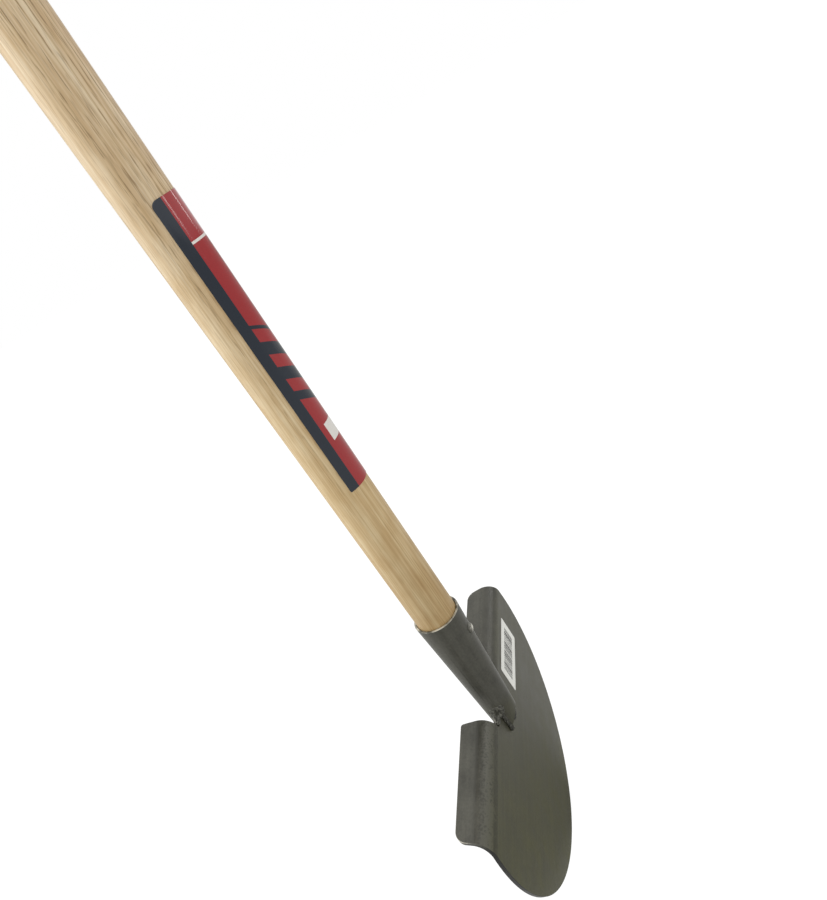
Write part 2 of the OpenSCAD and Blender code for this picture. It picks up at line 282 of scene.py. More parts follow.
@dataclass(frozen=True)
class PaleAsh(Finish):
    """Sanded ash under a thin clear oil: porous dark early wood between pale late wood, in true growth rings.

    Rings run round a pith outside the piece, so that the side square to it is plain and mottled, the flanks
    show straight lines and the end grain curves. The sapwood far from the pith is paler, and this paleness
    also stands as painted light on the side away from the pith. The lines fade where the grain runs out.
    Pores are short dark dashes along the fibres, drawn a little wider than real ones so that they show.
    """

    name: str
    grain: Grain
    pith: Span
    centre: float = 0.0
    stain: Span = NOWHERE
    golden: Span = NOWHERE
    plain: Span = NOWHERE
    pale: str = "#FAECD2"
    middle: str = "#ECDBBB"
    dark: str = "#BDA57D"
    cream: str = "#F3E2C4"
    pore: str = "#7C613D"
    fibre_tint: str = "#E8DFD1"
    band_tint: str = "#F5EFE6"
    mottle_tint: str = "#F3EDE3"
    # Tint near the pith; the paler side away from it is sapwood and partly painted light.
    sapwood_light_tint: str = "#EBE5DC"
    stain_tint: str = "#E0DACE"
    golden_tint: str = "#FFFEF2"
    ring: float = 2.1
    waviness: float = 1.9
    wave_lengths: Triple = (45.0, 45.0, 380.0)
    sapwood_light_past_pith: Span = (9.0, 13.0)
    line_strength: Span = (0.3, 0.75)
    plain_strength: float = 0.2
    pore_strength: float = 0.52
    pores: Streak = Streak(0.3, 5.0, 0.52, 0.62)
    fibres: Streak = Streak(0.4, 30.0, 0.3, 0.7)
    bands: Streak = Streak(1.5, 180.0, 0.35, 0.65)
    mottle: Streak = Streak(4.0, 9.0, 0.35, 0.65)
    roughness: Span = (0.44, 0.62)
    relief: float = 0.08
    index: float = 1.48

    def paint(self, tree: NodeTree) -> Inputs:
        """Paints rings, pores, fibres and the stained end; see the base class."""
        fibre = self.along_fibres(tree)
        height = add_node(tree, "SeparateXYZ", {0: fibre}, "Z")
        phase, strength, sapwood_and_light = self.growth(tree, fibre)
        low, high = self.plain
        figure = add_node(tree, "MapRange", {0: height, 1: low, 2: high, 3: self.plain_strength})
        wood = add_node(tree, "ValToRGB", {0: phase}, stops=[
            (0.0, linear(self.middle)), (0.06, linear(self.dark)), (0.16, linear(self.middle)),
            (0.45, linear(self.pale)), (0.92, linear(self.pale))])
        faint, strong = self.line_strength
        lines = add_node(tree, "MapRange", {0: strength, 3: faint, 4: strong})
        soft = add_node(tree, "Math", {0: lines, 1: figure}, operation="MULTIPLY")
        rings = add_node(tree, "Mix", {0: soft, MIX_A: linear(self.cream), MIX_B: wood}, MIX_OUT,
                         data_type="RGBA")
        early = add_node(tree, "ValToRGB", {0: phase}, stops=[
            (0.0, grey(1.0)), (0.35, grey(0.85)), (0.6, grey(0.3)), (1.0, grey(0.4))])
        pores, fibres, bands, mottle = (self.streaks(tree, fibre, streak) for streak in
                                        (self.pores, self.fibres, self.bands, self.mottle))
        marks = add_node(tree, "Math", {0: pores, 1: early}, operation="MULTIPLY")
        shown = add_node(tree, "Math", {0: marks, 1: figure}, operation="MULTIPLY")
        amount = add_node(tree, "Math", {0: shown, 1: self.pore_strength}, operation="MULTIPLY")
        colour = add_node(tree, "Mix", {0: amount, MIX_A: rings, MIX_B: linear(self.pore)}, MIX_OUT,
                          data_type="RGBA")
        # Paler sapwood away from the pith, which also stands as painted light on that side.
        sapwood_light_shown = add_node(tree, "Math", {0: sapwood_and_light, 1: figure}, operation="MULTIPLY")
        stained, golden = (add_node(tree, "MapRange", {0: height, 1: low, 2: high})
                           for low, high in (self.stain, self.golden))
        tints = [(fibres, self.fibre_tint), (bands, self.band_tint), (mottle, self.mottle_tint),
                 (sapwood_light_shown, self.sapwood_light_tint), (stained, self.stain_tint), (golden, self.golden_tint)]
        for level, shade in tints:
            tint = add_node(tree, "ValToRGB", {0: level}, stops=[(0.0, linear(shade)), (1.0, linear(WHITE))])
            colour = add_node(tree, "Mix", {0: 1.0, MIX_A: colour, MIX_B: tint}, MIX_OUT, data_type="RGBA",
                              blend_type="MULTIPLY")
        smooth, rough = self.roughness
        gloss = add_node(tree, "MapRange", {0: marks, 3: smooth, 4: rough})
        relief = add_node(tree, "Math", {0: fibres, 1: marks}, operation="SUBTRACT")
        bump = add_node(tree, "Bump", {"Height": relief, "Strength": 0.35, "Distance": self.relief * MM})
        return {"Base Color": colour, "Roughness": gloss, "Normal": bump, "IOR": self.index}

    def growth(self, tree: NodeTree, fibre: NodeSocket) -> list[NodeSocket]:
        """Lays wavy growth rings round the pith.

        Args:
            tree: node tree of the material.
            fibre: place along the fibres.

        Returns:
            Output sockets of the place within a year's ring, of that year's strength and of the sapwood,
            whose paleness also stands as painted light.
        """
        bend = self.drawn_out(tree, fibre, self.wave_lengths, 1.5)
        across = add_node(tree, "VectorMath", {0: fibre, 1: (*self.pith, 0.0)}, operation="SUBTRACT")
        flat = add_node(tree, "VectorMath", {0: across, 1: (1.0, 1.0, 0.0)}, operation="MULTIPLY")
        radius = add_node(tree, "VectorMath", {0: flat}, "Value", operation="LENGTH")
        wavy = add_node(tree, "Math", {0: bend, 1: self.waviness, 2: radius}, operation="MULTIPLY_ADD")
        count = add_node(tree, "Math", {0: wavy, 1: self.ring}, operation="DIVIDE")
        phase = add_node(tree, "Math", {0: count}, operation="FRACT")
        year = add_node(tree, "Math", {0: count}, operation="FLOOR")
        strength = add_node(tree, "TexWhiteNoise", {"W": year}, noise_dimensions="1D")
        begins, full = (math.hypot(*self.pith) + past for past in self.sapwood_light_past_pith)
        sapwood_and_light = add_node(tree, "MapRange", {0: radius, 1: begins, 2: full})
        return [phase, strength, sapwood_and_light]

    def along_fibres(self, tree: NodeTree) -> NodeSocket:
        """Gives the place with its third part along the fibres.

        Args:
            tree: node tree of the material.

        Returns:
            The output socket of the place in millimetres.
        """
        place = self.millimetres(tree)
        if self.grain is Grain.UP_THE_SHAFT:
            return place
        along, across, up = (add_node(tree, "SeparateXYZ", {0: place}, axis) for axis in "XYZ")
        height = add_node(tree, "Math", {0: up, 1: self.centre}, operation="SUBTRACT")
        return add_node(tree, "CombineXYZ", {0: across, 1: height, 2: along})

    def streaks(self, tree: NodeTree, fibre: NodeSocket, streak: Streak) -> NodeSocket:
        """Makes streaks along the fibres.

        Args:
            tree: node tree of the material.
            fibre: place along the fibres.
            streak: size of a streak and its levels.

        Returns:
            The output socket of the streaks, from zero to one.
        """
        lengths = (streak.width, streak.width, streak.length)
        level = self.drawn_out(tree, fibre, lengths, 1.0, scale=0.5)
        return add_node(tree, "MapRange", {0: level, 1: streak.begins, 2: streak.full})


@dataclass(frozen=True)
class LacqueredSteel(Finish):
    """Hot-rolled sheet steel under dark olive stove lacquer: satin, mottled and slightly grainy.

    The lacquer is olive below the fold and turns greyer askew towards the far upper side, a change that is
    painted sheen. Round the fold, streaks of painted highlight and painted shade cross the sheet, broken up
    by the grain, strongest at the near end and turned round at the far one. The attribute "wear" is one where
    the lacquer is rubbed down to bare steel, also carries the painted glints on the rivet's crown, and is
    minus one on the sheared edges, which are darkened as painted shade.
    """

    name: str
    rolled: Triple
    light: str = "#535249"
    dark: str = "#3B3A33"
    bare: str = "#C9C4B4"
    # Colour of the sheared edges, a painted shade.
    painted_edge_shade: str = "#131210"
    olive: str = "#FFFFBC"
    mottle: float = 16.0
    grit: float = 1.3
    chip: float = 5.0
    streak_share: float = 0.4
    grain_share: float = 0.4
    tones: Span = (0.62, 1.18)
    # Olive tint: the span over which it fades askew as painted sheen, where it stops under the treads, and
    # its share where the sheen is full.
    painted_sheen_span: Span = (20.0, 100.0)
    olive_top: Span = (113.0, 123.0)
    olive_under_painted_sheen: float = 0.35
    fold: Span = NOWHERE
    # Streaks of painted highlight and painted shade round the fold: their levels up it, their ends across the
    # blade, their gains there, and the grain levels that break them up.
    fold_light_levels: tuple[Span, ...] = (
        (0.0, 0.5), (0.08, 0.2), (0.3, 0.15), (0.44, 0.7), (0.58, 1.0), (0.7, 0.95), (0.82, 0.72),
        (0.95, 0.6), (0.985, 0.3), (1.0, 0.52))
    fold_light_ends: Span = (-20.0, 40.0)
    fold_light_gains: Span = (3.2, -1.2)
    fold_light_breakup: Span = (0.36, 0.64)
    chips: Span = (0.35, 0.6)
    roughness: Span = (0.33, 0.46)
    relief: float = 0.07
    metallic: float = 0.25

    def paint(self, tree: NodeTree) -> Inputs:
        """Paints the mottled lacquer with its olive tint and painted sheen, the painted fold light, the
        sheared edges darkened as painted shade and the rubbed edges; see the base class.
        """
        place = self.millimetres(tree)
        side, height = (add_node(tree, "SeparateXYZ", {0: place}, axis) for axis in "XZ")
        cloud = add_node(tree, "TexNoise", {"Vector": place, "Scale": 1 / self.mottle, "Detail": 4.0,
                                            "Roughness": 0.6})
        streak = self.drawn_out(tree, place, self.rolled, 2.0)
        grain = add_node(tree, "TexNoise", {"Vector": place, "Scale": 1 / self.grit, "Detail": 2.0})
        mixed = add_node(tree, "Math", {0: streak, 1: self.streak_share, 2: cloud}, operation="MULTIPLY_ADD")
        grainy = add_node(tree, "Math", {0: grain, 1: self.grain_share, 2: mixed}, operation="MULTIPLY_ADD")
        low, high = self.tones
        even = add_node(tree, "MapRange", {0: grainy, 1: low, 2: high})
        # Painted highlight and painted shade round the fold.
        fold_light_change = self.painted_fold_light(tree, side, height, grain)
        level = add_node(tree, "Math", {0: fold_light_change, 1: even}, operation="ADD", use_clamp=True)
        lacquer = add_node(tree, "ValToRGB", {0: level}, stops=[
            (0.0, linear(self.dark)), (1.0, linear(self.light))])
        # Olive tint, fading askew as painted sheen.
        olive_share = self.olive_with_painted_sheen(tree, side, height)
        olive = add_node(tree, "Mix", {0: olive_share, MIX_A: lacquer, MIX_B: linear(self.olive)}, MIX_OUT,
                         data_type="RGBA", blend_type="MULTIPLY")
        wear_and_painted_light = add_node(tree, "Attribute", out="Fac", attribute_name="wear_and_painted_light")
        # Sheared edges, darkened as painted shade.
        edge = add_node(tree, "MapRange", {0: wear_and_painted_light, 1: -1.0, 2: 0.0, 3: 1.0, 4: 0.0})
        shaded = add_node(tree, "Mix", {0: edge, MIX_A: olive, MIX_B: linear(self.painted_edge_shade)}, MIX_OUT,
                          data_type="RGBA")
        flakes = add_node(tree, "TexNoise", {"Vector": place, "Scale": 1 / self.chip, "Detail": 5.0})
        low, high = self.chips
        rubbed = add_node(tree, "MapRange", {0: flakes, 1: low, 2: high})
        bright = add_node(tree, "Math", {0: wear_and_painted_light, 1: rubbed}, operation="MULTIPLY", use_clamp=True)
        colour = add_node(tree, "Mix", {0: bright, MIX_A: shaded, MIX_B: linear(self.bare)}, MIX_OUT,
                          data_type="RGBA")
        smooth, rough = self.roughness
        gloss = add_node(tree, "MapRange", {0: cloud, 1: 0.3, 2: 0.7, 3: smooth, 4: rough})
        bump = add_node(tree, "Bump", {"Height": grain, "Strength": 0.5, "Distance": self.relief * MM})
        return {"Base Color": colour, "Roughness": gloss, "Normal": bump, "Metallic": self.metallic}

    def painted_fold_light(self, tree: NodeTree, side: NodeSocket, height: NodeSocket,
                   grain: NodeSocket) -> NodeSocket:
        """Paints highlight and shade in streaks round the fold, as painted light.

        Args:
            tree: node tree of the material.
            side: place across the blade.
            height: place up the blade.
            grain: fine grain of the scale.

        Returns:
            The output socket of the change of level, zero away from the fold.
        """
        start, end = self.fold
        round_fold = add_node(tree, "MapRange", {0: height, 1: start, 2: end})
        fold_light = add_node(tree, "ValToRGB", {0: round_fold}, stops=[
            (share, grey(level)) for share, level in self.fold_light_levels])
        change = add_node(tree, "Math", {0: fold_light, 1: 0.5}, operation="SUBTRACT")
        fine, coarse = self.fold_light_breakup
        broken = add_node(tree, "MapRange", {0: grain, 1: fine, 2: coarse})
        streaky = add_node(tree, "Math", {0: change, 1: broken}, operation="MULTIPLY")
        (near, far), (most, least) = self.fold_light_ends, self.fold_light_gains
        gain = add_node(tree, "MapRange", {0: side, 1: near, 2: far, 3: most, 4: least})
        return add_node(tree, "Math", {0: streaky, 1: gain}, operation="MULTIPLY")

    def olive_with_painted_sheen(self, tree: NodeTree, side: NodeSocket, height: NodeSocket) -> NodeSocket:
        """Tints the lacquer olive below the fold, less so askew towards the far upper side as painted sheen.

        Args:
            tree: node tree of the material.
            side: place across the blade.
            height: place up the blade.

        Returns:
            The output socket of the olive share, from zero to one.
        """
        askew = add_node(tree, "Math", {0: side, 1: height}, operation="ADD")
        low, high = self.painted_sheen_span
        spread = add_node(tree, "MapRange", {0: askew, 1: low, 2: high, 3: 1.0, 4: self.olive_under_painted_sheen})
        low, high = self.olive_top
        below = add_node(tree, "MapRange", {0: height, 1: low, 2: high, 3: 1.0, 4: 0.0})
        return add_node(tree, "Math", {0: spread, 1: below}, operation="MULTIPLY")


@dataclass(frozen=True)
class WeldMetal(Finish):
    """Rough weld bead under the same lacquer: dark in the hollows of its ripple as burnt metal and painted
    shade, paler on the crests as painted glints.
    """

    name: str
    dark: str = "#2E2D28"
    light: str = "#6E6D63"
    ripple: float = 1.5
    painted_shade_to_glint: Span = (0.35, 0.7)
    roughness: Span = (0.3, 0.55)
    relief: float = 0.4
    metallic: float = 0.35

    def paint(self, tree: NodeTree) -> Inputs:
        """Paints dark hollows, as burnt metal and painted shade, and paler crests as painted glints; see the
        base class.
        """
        place = self.millimetres(tree)
        lumps = add_node(tree, "TexNoise", {"Vector": place, "Scale": 1 / self.ripple, "Detail": 3.0})
        hollow, crest = self.painted_shade_to_glint
        # Dark hollows and pale crests of the ripple: burnt metal with painted shade, and painted glints.
        colour = add_node(tree, "ValToRGB", {0: lumps}, stops=[
            (hollow, linear(self.dark)), (crest, linear(self.light))])
        smooth, rough = self.roughness
        gloss = add_node(tree, "MapRange", {0: lumps, 1: hollow, 2: crest, 3: rough, 4: smooth})
        bump = add_node(tree, "Bump", {"Height": lumps, "Strength": 0.8, "Distance": self.relief * MM})
        return {"Base Color": colour, "Roughness": gloss, "Normal": bump, "Metallic": self.metallic}


@dataclass(frozen=True)
class PrintedFilm(Finish):
    """Glossy printed film: red with navy edges and slanting navy bands, a white rule and a white panel.

    The places of the bands, the rule and the panel are shares of the film's length.
    """

    width: float
    length: float
    name: str = "printed_gloss_film"
    red: str = "#A22F32"
    navy: str = "#242B36"
    white: str = "#E8E4DE"
    margin: float = 5.4
    band: float = 7.0
    band_count: int = 3
    bands_at: float = 0.36
    slant: float = 0.55
    rule: float = 1.2
    rule_at: float = 0.86
    panel: float = 10.0
    panel_at: float = 0.17
    panel_inset: float = 8.64
    rub: float = 9.0
    roughness: Span = (0.06, 0.13)
    index: float = 1.49

    def paint(self, tree: NodeTree) -> Inputs:
        """Paints the bands on the film's own UV map, which is in metres; see the base class."""
        uv = add_node(tree, "UVMap", uv_map="film")
        place = add_node(tree, "VectorMath", {0: uv, "Scale": 1 / MM}, operation="SCALE")
        across, along = (add_node(tree, "SeparateXYZ", {0: place}, axis) for axis in "XY")
        slanted = add_node(tree, "Math", {0: across, 1: self.slant, 2: along}, operation="MULTIPLY_ADD")
        pitch = 2 * self.band
        step = add_node(tree, "Math", {0: slanted, 1: pitch}, operation="MODULO")
        stripes = add_node(tree, "Math", {0: step, 1: self.band}, operation="LESS_THAN")
        start = self.bands_at * self.length
        field = self.between(tree, slanted, start, start + self.band_count * pitch)
        bands = add_node(tree, "Math", {0: stripes, 1: field}, operation="MULTIPLY")
        middle = self.between(tree, across, self.margin, self.width - self.margin)
        edges = add_node(tree, "Math", {0: 1.0, 1: middle}, operation="SUBTRACT")
        navy = add_node(tree, "Math", {0: bands, 1: edges}, operation="MAXIMUM")
        ground = add_node(tree, "Mix", {0: navy, MIX_A: linear(self.red), MIX_B: linear(self.navy)}, MIX_OUT,
                          data_type="RGBA")
        start = self.rule_at * self.length
        rule = self.between(tree, along, start, start + self.rule)
        inner = add_node(tree, "Math", {0: rule, 1: middle}, operation="MULTIPLY")
        start = self.panel_at * self.length
        tall = self.between(tree, along, start, start + self.panel)
        wide = self.between(tree, across, self.panel_inset, self.width - self.panel_inset)
        panel = add_node(tree, "Math", {0: tall, 1: wide}, operation="MULTIPLY")
        light = add_node(tree, "Math", {0: inner, 1: panel}, operation="MAXIMUM")
        colour = add_node(tree, "Mix", {0: light, MIX_A: ground, MIX_B: linear(self.white)}, MIX_OUT,
                          data_type="RGBA")
        rub = add_node(tree, "TexNoise", {"Vector": self.millimetres(tree), "Scale": 1 / self.rub,
                                          "Detail": 3.0})
        smooth, rough = self.roughness
        gloss = add_node(tree, "MapRange", {0: rub, 3: smooth, 4: rough})
        return {"Base Color": colour, "Roughness": gloss, "IOR": self.index}


@dataclass(frozen=True)
class CoatedPaper(Finish):
    """White coated paper with plain printed bars of uneven width: matt, slightly grey, ink a little soft."""

    low: Vector
    high: Vector
    name: str = "coated_white_paper"
    border: float = 4.8
    white: str = "#F2F2EC"
    ink: str = "#3E3E3C"
    bar: float = 1.5
    bar_shares: Span = (0.3, 1.0)
    fibre: float = 0.8
    relief: float = 0.03
    roughness: float = 0.5

    def paint(self, tree: NodeTree) -> Inputs:
        """Paints the bars; see the base class."""
        place = self.millimetres(tree)
        across, up = (add_node(tree, "SeparateXYZ", {0: place}, axis) for axis in "XZ")
        step = add_node(tree, "Math", {0: across, 1: self.bar}, operation="DIVIDE")
        cell = add_node(tree, "Math", {0: step}, operation="FLOOR")
        width = add_node(tree, "TexWhiteNoise", {"W": cell}, noise_dimensions="1D")
        inside = add_node(tree, "Math", {0: step}, operation="FRACT")
        thin, wide = self.bar_shares
        ample = add_node(tree, "MapRange", {0: width, 3: thin, 4: wide})
        mask = add_node(tree, "Math", {0: inside, 1: ample}, operation="LESS_THAN")
        for value, low, high in ((across, self.low.x, self.high.x), (up, self.low.z, self.high.z)):
            window = self.between(tree, value, low + self.border, high - self.border)
            mask = add_node(tree, "Math", {0: mask, 1: window}, operation="MULTIPLY")
        colour = add_node(tree, "Mix", {0: mask, MIX_A: linear(self.white), MIX_B: linear(self.ink)}, MIX_OUT,
                          data_type="RGBA")
        fibre = add_node(tree, "TexNoise", {"Vector": place, "Scale": 1 / self.fibre})
        bump = add_node(tree, "Bump", {"Height": fibre, "Strength": 0.1, "Distance": self.relief * MM})
        return {"Base Color": colour, "Roughness": self.roughness, "Normal": bump}


TUBE = LacqueredSteel("lacquered_tube_steel", (2.4, 2.4, 40.0))
# The rivet's crown is painted pale in small chips, as painted glints.
RIVET = LacqueredSteel("rivet_steel_painted_glints", (3.0, 3.0, 3.0), bare="#E2DFD4", chip=1.6)
WELD = WeldMetal("lacquered_weld_bead")
# Darker weld for the cheeks' ends and edges, a dark finish that is painted shade.
SHADE_DARK_WELD = WeldMetal("dark_weld_bead_painted_shade", dark="#2A2925", light="#57564D")


def put_in_scene(name: str, data: Any) -> Object:
    """Makes an object of a mesh, a lamp or a camera and links it to the scene.

    Args:
        name: name of the object.
        data: what it shows.

    Returns:
        The new object.
    """
    made = bpy.data.objects.new(name, data)
    bpy.context.scene.collection.objects.link(made)
    return made


def put_mesh(shape: BMesh, name: str, material: Material) -> Object:
    """Puts a shape in metres into the scene.

    Args:
        shape: the modelled shape, which is freed.
        name: name of the object and its mesh.
        material: its material.

    Returns:
        The new object.
    """
    mesh = bpy.data.meshes.new(name)
    shape.to_mesh(mesh)
    shape.free()
    mesh.materials.append(material)
    return put_in_scene(name, mesh)


def hand_over(shape: BMesh, name: str, finish: Finish, slot: str, *nodes: str, face_weight: int = 90) -> None:
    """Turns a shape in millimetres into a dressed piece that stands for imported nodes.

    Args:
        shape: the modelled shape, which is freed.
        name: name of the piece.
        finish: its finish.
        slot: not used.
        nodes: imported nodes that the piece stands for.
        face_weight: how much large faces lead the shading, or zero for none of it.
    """
    bmesh.ops.scale(shape, vec=(MM, MM, MM), verts=shape.verts)
    for face in shape.faces:
        face.smooth = True
    piece = put_mesh(shape, name, finish.material())
    if face_weight:
        shading = piece.modifiers.new("even shading", "WEIGHTED_NORMAL")
        shading.weight = face_weight
    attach(piece, BODY)
    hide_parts(*nodes)
    LOG.info("%s: %d faces, %s", name, len(piece.data.polygons), finish.name)


def dress_node(node: str, finish: Finish) -> None:
    """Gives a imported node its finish.

    Args:
        node: name of the node.
        finish: its finish.
    """
    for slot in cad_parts[node].material_slots:
        slot.material = finish.material()
    LOG.info("%s: packed shape, %s", node, finish.name)


def lathe(outlines: list[list[Span]], steps: int, axis: Vector = UP, centre: Vector = ORIGIN) -> BMesh:
    """Turns outlines round an axis.

    Args:
        outlines: distances from the axis and heights along it, for each outline.
        steps: steps of the full turn.
        axis: direction of the axis.
        centre: a point on the axis, at height zero.

    Returns:
        The turned shape, with merged poles and faces that point outwards.
    """
    shape = bmesh.new()
    for outline in outlines:
        points = [shape.verts.new(centre + ACROSS * reach + axis * height) for reach, height in outline]
        edges = [shape.edges.new(pair) for pair in zip(points, points[1:])]
        bmesh.ops.spin(shape, geom=points + edges, cent=centre, axis=axis, angle=math.tau, steps=steps,
                       use_merge=True)
    bmesh.ops.remove_doubles(shape, verts=shape.verts, dist=MERGED)
    bmesh.ops.recalc_face_normals(shape, faces=shape.faces)
    return shape


def sharp_edges(shape: BMesh, limit: float = 0.7) -> list[BMEdge]:
    """Finds the edges between faces that meet at more than an angle in radians."""
    return [e for e in shape.edges if e.is_manifold and e.calc_face_angle() > limit]


def round_off(shape: BMesh, geom: list[BMEdge] | list[BMVert], radius: float, segments: int = 2,
              affect: str = "EDGES") -> None:
    """Rounds some edges or corners of a shape.

    Args:
        shape: the shape.
        geom: edges or vertices to round.
        radius: how far the rounding reaches.
        segments: steps of the rounding.
        affect: whether edges or vertices are given.
    """
    bmesh.ops.bevel(shape, geom=geom, offset=radius, offset_type="OFFSET", segments=segments, profile=0.5,
                    affect=affect, material=-1, clamp_overlap=True)


def thicken(shape: BMesh, depth: float) -> None:
    """Gives a flat shape a thickness.

    Args:
        shape: the flat shape.
        depth: thickness towards the rear.
    """
    made = bmesh.ops.extrude_face_region(shape, geom=shape.faces[:])
    moved = [e for e in made["geom"] if isinstance(e, BMVert)]
    bmesh.ops.translate(shape, vec=BACK * depth, verts=moved)
    bmesh.ops.recalc_face_normals(shape, faces=shape.faces)


def cut(shape: BMesh, place: Vector, normal: Vector, geom: list[Any] | None = None,
        clear: bool = False) -> None:
    """Cuts faces of a shape along a plane.

    Args:
        shape: the shape.
        place: a point of the plane.
        normal: direction square to the plane.
        geom: vertices, edges and faces to cut, or none for all of them.
        clear: whether what lies behind the plane is taken away.
    """
    bmesh.ops.bisect_plane(shape, geom=geom or shape.verts[:] + shape.edges[:] + shape.faces[:], dist=MERGED,
                           plane_co=place, plane_no=normal, clear_inner=clear)


def mark_wear_and_painted_light(shape: BMesh, wear_and_painted_light_at: Callable[[Vector], float]) -> None:
    """Writes on every vertex how rubbed it is, in a value that also carries painted light: painted edge shade
    below zero and, on the rivet, painted glints.

    Args:
        shape: the shape.
        wear_and_painted_light_at: gives the value at a place, from minus one to one; below zero it is painted
            edge shade.
    """
    wear_and_painted_light = shape.verts.layers.float.new("wear_and_painted_light")
    for vert in shape.verts:
        vert[wear_and_painted_light] = wear_and_painted_light_at(vert.co)


def add_lump(shape: BMesh, place: Vector, size: Triple) -> None:
    """Adds one rough lump of weld metal to a shape.

    Args:
        shape: the shape.
        place: middle of the lump.
        size: half its width, depth and height.
    """
    verts = bmesh.ops.create_icosphere(shape, subdivisions=4, radius=1.0)["verts"]
    for vert in verts:
        vert.co *= 1 + sum(share * noise.noise(vert.co * count + place) for share, count in SWELLS)
    bmesh.ops.scale(shape, vec=size, verts=verts)
    bmesh.ops.translate(shape, vec=place, verts=verts)


